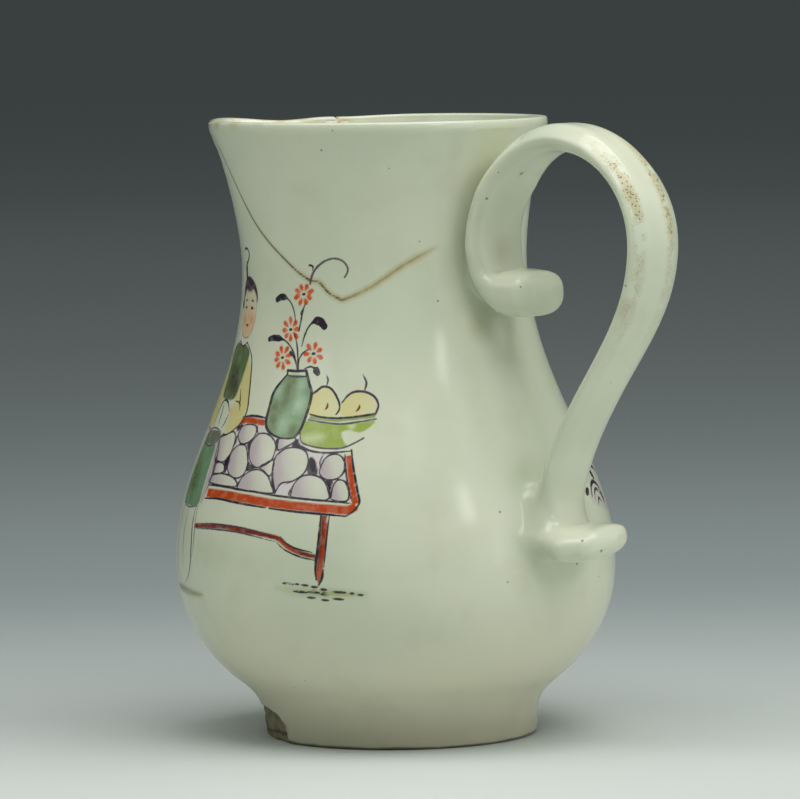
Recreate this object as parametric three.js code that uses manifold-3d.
// A sparrow beak jug: a small pear-shaped porcelain cream jug with a pinched
// V-shaped lip opposite a looped strap handle whose two ends kick outwards.
// Millimetres, +Z up. The jug stands on z = 0, the beak points along -X and
// the handle along +X. The origin lies under the middle of the whole length.

import * as THREE from 'three';
import { mergeVertices } from 'three/addons/utils/BufferGeometryUtils.js';
import Module from 'manifold-3d';

const degrees = THREE.MathUtils.degToRad;
const mix = THREE.MathUtils.lerp;

// Pot: heights and outside radii
const rimHeight = 90;
const rimRadius = 24.8;
const neckHeight = 69.5;
const neckRadius = 20.9;
const bellyHeight = 25.4;
const bellyRadius = 32.3;
const footHeight = 3.2;
const footRadius = 20.1;

// Pot: thicknesses and the hollow under the foot
const bellyWall = 3.2;
const lipWall = 2.3;
const floorThickness = 3.6;
const footRecess = 2.4;
const footRingWidth = 2.9;
const footEdgeRound = 0.4;

// Hand-made character: the rim sits forward of the foot, and dips beside the beak
const lean = 2.8;
const leanPower = 1.3;
const rimLift = 0.4;
const rimDip = 1.2;
const rimDipAngle = degrees(36);
const rimMovePower = 12;

// Beak: how far it runs past the round of the rim, down the neck and round it
const beakReach = 7.8;
const beakDrop = 29;
const beakDropPower = 1.5;
const beakHalfAngle = degrees(41);
const beakSidePower = 1.8;
const beakTipAngle = degrees(5);
const beakTipLift = 0.8;
const beakInnerShare = 0.88;

// Handle: where its strap runs, in the plane of symmetry
const handleReach = 50;
const crownBelowRim = 0.4;
const crownForward = 13.1;
const backHeight = 73;
const strapRise = 1.3;
const upperKickHeight = 65.5;
const upperKickReach = 10;
const lowerKickHeight = 30.2;
const lowerKickReach = 9.7;
const landingRise = 6;
const kickBend = 3.6;

// Handle: width and thickness of the strap where they change
const kickWidth = 11;
const kickThickness = 7;
const neckStrapWidth = 10.6;
const neckStrapThickness = 3.3;
const crownWidth = 9.8;
const crownThickness = 4;
const backWidth = 10.7;
const backThickness = 2.7;
const waistWidth = 10.2;
const waistThickness = 2.1;
const landingWidth = 9.8;
const landingThickness = 2.8;
const lowerKickWidth = 10;
const lowerKickThickness = 4.9;
const kickTipShrink = 0.7;

// Handle: where its underside comes close to the pot it is bedded into the wall
const bedDepth = 1.5;
const bedNear = 1;
const bedFar = 3.2;

// Handle: how far the strap sways out of the plane of symmetry
const backSway = 0.6;
const waistSway = 0.15;

// Flake lost from the foot ring: its place from the beak towards -Y, and its size
const chipAngle = degrees(52);
const chipHalfAngle = degrees(25);
const chipTop = 4.7;
const chipDepth = 0.5;

// Fineness of the faceted surface
const columns = 56;
const columnCrowding = 0.42;
const strapSteps = 58;
const strapCapSteps = 3;
const strapCapLength = 1.6;
const lipSteps = 4;

const v2 = (x, y) => new THREE.Vector2(x, y);
const v3 = (x, z) => new THREE.Vector3(x, 0, z);

// Profile of the pot

function bezier(start, startPull, endPull, end, divisions) {
  return new THREE.CubicBezierCurve(start, startPull, endPull, end).getPoints(divisions);
}

// The outside, from the top of the foot ring to the rim. The pulls are shares of
// the height or swell between two named sizes, so each curve keeps its character.
function outerCurves() {
  const swell = bellyRadius - footRadius;
  const rise = bellyHeight - footHeight;
  const neckIn = bellyRadius - neckRadius;
  const climb = neckHeight - bellyHeight;
  const flare = rimRadius - neckRadius;
  const throat = rimHeight - neckHeight;
  const footTop = v2(footRadius + 0.02 * swell, footHeight);
  const under = v2(footRadius + 0.37 * swell, footHeight + 0.265 * rise);
  const belly = v2(bellyRadius, bellyHeight);
  const neck = v2(neckRadius, neckHeight);
  const rim = v2(rimRadius, rimHeight - lipWall / 2);
  return [
    bezier(footTop, v2(footTop.x, footTop.y + 0.13 * rise),
      v2(under.x - 0.14 * swell, under.y - 0.065 * rise), under, 4),
    bezier(under, v2(under.x + 0.19 * swell, under.y + 0.09 * rise),
      v2(belly.x, belly.y - 0.4 * rise), belly, 7),
    bezier(belly, v2(belly.x, belly.y + 0.353 * climb),
      v2(neckRadius, neck.y - 0.429 * climb), neck, 11),
    bezier(neck, v2(neck.x, neck.y + 0.27 * throat),
      v2(neck.x + 0.55 * flare, neck.y + 0.76 * throat), rim, 7),
  ];
}

// One outline without the points that two neighbouring curves share
function joined(curves) {
  return curves.flatMap((points, i) => (i === 0 ? points : points.slice(1)));
}

// The inside follows the outside at the wall's thickness
function innerPoints(outside) {
  const inside = [];
  for (let i = 1; i < outside.length - 1; i++) {
    const along = outside[i + 1].clone().sub(outside[i - 1]).normalize();
    const wall = mix(bellyWall, lipWall, outside[i].y / rimHeight);
    inside.push(v2(outside[i].x - along.y * wall, outside[i].y + along.x * wall));
  }
  return inside;
}

function potProfile() {
  const curves = outerCurves();
  const footInner = footRadius - footRingWidth;
  const foot = [
    v2(0, footRecess),
    v2(footInner - footEdgeRound, footRecess),
    v2(footInner, footEdgeRound),
    v2(footInner + footEdgeRound, 0),
    v2(footRadius - footEdgeRound, 0),
    v2(footRadius, footEdgeRound),
  ];
  const lipCentre = v2(rimRadius - lipWall / 2, rimHeight - lipWall / 2);
  const lip = [];
  for (let step = 1; step < lipSteps; step++) {
    const turn = (step / lipSteps) * Math.PI;
    lip.push(v2(
      lipCentre.x + Math.cos(turn) * lipWall / 2,
      lipCentre.y + Math.sin(turn) * lipWall / 2,
    ));
  }
  const inside = innerPoints(joined(curves.slice(1)));
  inside.push(v2(rimRadius - lipWall, lipCentre.y));
  const floorHeight = footRecess + floorThickness;
  const bowl = inside[0];
  const floor = bezier(
    v2(0, floorHeight), v2(0.55 * bowl.x, floorHeight),
    v2(0.8 * bowl.x, mix(floorHeight, bowl.y, 0.25)), bowl, 5,
  );
  return [...foot, ...joined(curves), ...lip, ...inside.reverse(), ...floor.slice(0, -1).reverse()];
}

// Where the pot's outside stands on the handle side, at a height
const outside = joined(outerCurves());
const leanAt = (z) => lean * (Math.max(z, 0) / rimHeight) ** leanPower;

function wallAt(z) {
  const i = Math.max(1, outside.findIndex((point) => point.y >= z));
  const [low, high] = [outside[i - 1], outside[i]];
  return mix(low.x, high.x, (z - low.y) / (high.y - low.y)) - leanAt(z);
}

// The beak as an outward push: full at its tip, and none past its half angle
function beakPush(fromTip, z) {
  const rise = THREE.MathUtils.clamp((z - rimHeight + beakDrop) / beakDrop, 0, 1);
  const away = Math.hypot(fromTip, beakTipAngle) - beakTipAngle;
  const side = Math.max(0, 1 - away / (beakHalfAngle - beakTipAngle));
  return beakReach * rise ** beakDropPower * side ** beakSidePower;
}

// How far the rim stands above its plain height, round from the beak's tip
function rimRise(fromTip) {
  const dip = rimDip * Math.exp(-((fromTip / rimDipAngle) ** 2));
  const tip = beakTipLift * Math.exp(-((fromTip / beakTipAngle) ** 2));
  return rimLift - dip + tip;
}

// The flake as a push inwards: deepest at the foot, and none past its outline,
// which is half an ellipse
function chipBite(fromTip, z) {
  const away = (fromTip + chipAngle) / chipHalfAngle;
  const inside = 1 - away ** 2 - (z / chipTop) ** 2;
  return inside > 0 ? chipDepth * Math.sqrt(inside) : 0;
}

// The turned pot, with its columns crowded towards the beak and then moved into
// the beak, the lean, the uneven rim and the chip
function potGeometry() {
  const profile = potProfile();
  const geometry = new THREE.LatheGeometry(profile, columns);
  const position = geometry.getAttribute('position');
  profile.forEach((point, row) => {
    const share = row > profile.length / 2 ? beakInnerShare : 1;
    const chipped = row < profile.length / 2 && point.x >= footRadius - footEdgeRound;
    for (let column = 0; column <= columns; column++) {
      const turn = ((column % columns) / columns * 2 - 1) * Math.PI;
      const fromTip = turn - columnCrowding * Math.sin(turn);
      const onAxis = point.x === 0;
      const push = share * beakPush(Math.abs(fromTip), point.y);
      const bite = chipped ? chipBite(fromTip, point.y) : 0;
      const radius = onAxis ? 0 : point.x + push - bite;
      const lift = (point.y / rimHeight) ** rimMovePower * rimRise(fromTip);
      position.setXYZ(
        column * profile.length + row,
        -radius * Math.cos(fromTip) - leanAt(point.y),
        radius * Math.sin(fromTip),
        point.y + lift,
      );
    }
  });
  return geometry;
}

// The strap's path, from the tip of the upper kick over the crown to the lower tip
function strapCurves() {
  const neckFoot = upperKickHeight + kickBend;
  const neckX = wallAt(neckFoot + kickBend) + strapRise;
  const landingZ = lowerKickHeight + landingRise;
  const landingX = wallAt(landingZ) + 1.7 * strapRise;
  const backX = handleReach - backThickness / 2;
  const crownZ = rimHeight + rimLift - crownBelowRim - crownThickness / 2;
  const crown = v3(neckX + crownForward, crownZ);
  const back = v3(backX, backHeight);
  const neckLow = v3(neckX, neckFoot);
  const neckHigh = v3(neckX, neckFoot + kickBend);
  const upperRoot = v3(neckX + 1.2 * kickBend, upperKickHeight);
  const upperTip = v3(wallAt(upperKickHeight) + upperKickReach, upperKickHeight);
  const waist = v3(mix(landingX, backX, 0.37), mix(landingZ, backHeight, 0.385));
  const landing = v3(landingX, landingZ);
  const landingLow = v3(landingX, landingZ - 0.27 * landingRise);
  const lowerRoot = v3(landingX + kickBend, lowerKickHeight);
  const lowerTip = v3(wallAt(lowerKickHeight) + lowerKickReach, lowerKickHeight + 0.3);
  const climb = crown.z - neckHigh.z;
  const span = backX - crown.x;
  const fall = backHeight - landingZ;
  const slant = new THREE.Vector3(-0.55, 0, -0.835);
  const pulled = (length) => waist.clone().addScaledVector(slant, length);
  const curve = (...points) => new THREE.CubicBezierCurve3(...points);
  return [
    new THREE.LineCurve3(upperTip, upperRoot),
    curve(upperRoot, v3(neckX + 0.45 * kickBend, upperKickHeight),
      v3(neckX, upperKickHeight + 0.35 * kickBend), neckLow),
    new THREE.LineCurve3(neckLow, neckHigh),
    curve(neckHigh, v3(neckX, neckHigh.z + 0.57 * climb),
      v3(mix(neckX, crown.x, 0.5), crown.z), crown),
    curve(crown, v3(crown.x + 0.55 * span, crown.z), v3(backX, backHeight + 0.54 * climb), back),
    curve(back, v3(backX, backHeight - 0.245 * fall), pulled(-0.245 * fall), waist),
    curve(waist, pulled(0.136 * fall), v3(landingX + 0.6, landingZ + 0.136 * fall), landing),
    new THREE.LineCurve3(landing, landingLow),
    curve(landingLow, v3(landingX, mix(lowerKickHeight, landingLow.z, 0.32)),
      v3(mix(landingX, lowerRoot.x, 0.33), lowerKickHeight), lowerRoot),
    new THREE.LineCurve3(lowerRoot, lowerTip),
  ];
}

// Width, thickness, plumpness and sway of the strap at the ends of those curves. A
// plump section is a rounded block; a lean one has a crowned back and two arrises.
const strapStations = [
  [kickWidth, kickThickness - kickTipShrink, 1, 0],
  [kickWidth, kickThickness, 1, 0],
  [kickWidth, neckStrapThickness + kickTipShrink, 0.4, 0],
  [neckStrapWidth, neckStrapThickness, 0, 0],
  [crownWidth, crownThickness, 0, 0],
  [backWidth, backThickness, 0, backSway],
  [waistWidth, waistThickness, 0, waistSway],
  [landingWidth, landingThickness, 0, 0],
  [landingWidth, landingThickness + kickTipShrink, 0.3, 0],
  [lowerKickWidth, lowerKickThickness, 1, 0],
  [lowerKickWidth, lowerKickThickness - kickTipShrink, 1, 0],
];

// Half of the lean section as shares of its half width and half thickness, from
// the middle of the crowned back round the edge to the middle of the flat face
const leanHalf = [[0.22, 1], [0.62, 0.8], [0.93, 0.3], [1, 0], [0.9, -0.72], [0.45, -1]];
const leanSection = [...leanHalf, ...leanHalf.map(([across, out]) => [-across, out]).reverse()];
const plumpPower = 0.62;

function plumpSection(side) {
  const turn = Math.atan2(leanSection[side][1], leanSection[side][0]);
  const squared = (value) => Math.sign(value) * Math.abs(value) ** plumpPower;
  return [squared(Math.cos(turn)), squared(Math.sin(turn))];
}

// How far a point of the underside moves in, so that no gap is left beside the strap
function bedding(x, across, z) {
  const gap = Math.hypot(x + leanAt(z), across) - leanAt(z) - wallAt(z);
  const close = 1 - THREE.MathUtils.smoothstep(gap, bedNear, bedFar);
  return THREE.MathUtils.clamp(gap + bedDepth, 0, 1.5 * bedDepth) * close;
}

// Distance along the strap and size of the section at each row, blunt ends included
function strapRow(row, rows, total) {
  const fromEnd = Math.min(row, rows - row);
  if (fromEnd >= strapCapSteps) {
    const share = (row - strapCapSteps) / strapSteps;
    return { along: mix(strapCapLength, total - strapCapLength, share), scale: 1 };
  }
  const quarter = (fromEnd / strapCapSteps) * Math.PI / 2;
  const inward = strapCapLength * (1 - Math.cos(quarter));
  return { along: row < rows / 2 ? inward : total - inward, scale: Math.sin(quarter) };
}

function strapGeometry() {
  const curves = strapCurves();
  const lengths = curves.map((curve) => curve.getLength());
  const total = lengths.reduce((sum, length) => sum + length, 0);
  const sides = leanSection.length;
  const rows = strapSteps + 2 * strapCapSteps;
  const geometry = new THREE.SphereGeometry(1, sides, rows);
  const position = geometry.getAttribute('position');
  for (let row = 0; row <= rows; row++) {
    const { along, scale } = strapRow(row, rows, total);
    let leg = 0;
    let rest = along;
    while (leg < curves.length - 1 && rest > lengths[leg]) {
      rest -= lengths[leg];
      leg += 1;
    }
    const share = THREE.MathUtils.clamp(rest / lengths[leg], 0, 1);
    const centre = curves[leg].getPointAt(share);
    const heading = curves[leg].getTangentAt(share);
    const outward = new THREE.Vector3(-heading.z, 0, heading.x);
    const eased = THREE.MathUtils.smoothstep(share, 0, 1);
    const next = strapStations[leg + 1];
    const [width, thickness, plump, sway] = strapStations[leg].map(
      (size, k) => mix(size, next[k], eased),
    );
    for (let column = 0; column <= sides; column++) {
      const side = column % sides;
      const full = plumpSection(side);
      const across = sway + mix(leanSection[side][0], full[0], plump) * scale * width / 2;
      const out = mix(leanSection[side][1], full[1], plump) * scale * thickness / 2;
      const point = centre.clone().addScaledVector(outward, out);
      if (out < 0) point.x -= bedding(point.x, across, point.z);
      position.setXYZ(row * (sides + 1) + column, point.x, across, point.z);
    }
  }
  return geometry;
}

// A closed solid from a geometry, faces turned outwards
function solidOf(wasm, geometry) {
  geometry.deleteAttribute('normal');
  geometry.deleteAttribute('uv');
  const merged = mergeVertices(geometry);
  const index = merged.getIndex().array;
  const triangles = [];
  for (let i = 0; i < index.length; i += 3) {
    const [a, b, c] = index.slice(i, i + 3);
    if (a !== b && b !== c && c !== a) triangles.push([a, b, c]);
  }
  const build = (corners) => new wasm.Manifold(new wasm.Mesh({
    numProp: 3,
    vertProperties: merged.getAttribute('position').array,
    triVerts: Uint32Array.from(corners.flat()),
  }));
  const solid = build(triangles);
  return solid.volume() > 0 ? solid : build(triangles.map(([a, b, c]) => [a, c, b]));
}

// Pot and handle are fired as one body, so they are one solid
function jugGeometry(wasm) {
  const pot = solidOf(wasm, potGeometry());
  const strap = solidOf(wasm, strapGeometry());
  const { vertProperties, triVerts } = pot.add(strap).getMesh();
  const geometry = new THREE.BufferGeometry();
  geometry.setAttribute('position', new THREE.BufferAttribute(vertProperties, 3));
  geometry.setIndex(new THREE.BufferAttribute(triVerts, 1));
  geometry.computeVertexNormals();
  geometry.computeBoundingBox();
  return geometry;
}

const wasm = await Module();
wasm.setup();

const porcelain = new THREE.MeshStandardMaterial({
  name: 'porcelain', color: 0xd3d8c6, roughness: 0.22, metalness: 0,
});

const jug = new THREE.Mesh(jugGeometry(wasm), porcelain);
jug.name = 'jug';
const { min, max } = jug.geometry.boundingBox;
jug.position.x = -(min.x + max.x) / 2;

const group = new THREE.Group();
group.add(jug);

export default group;
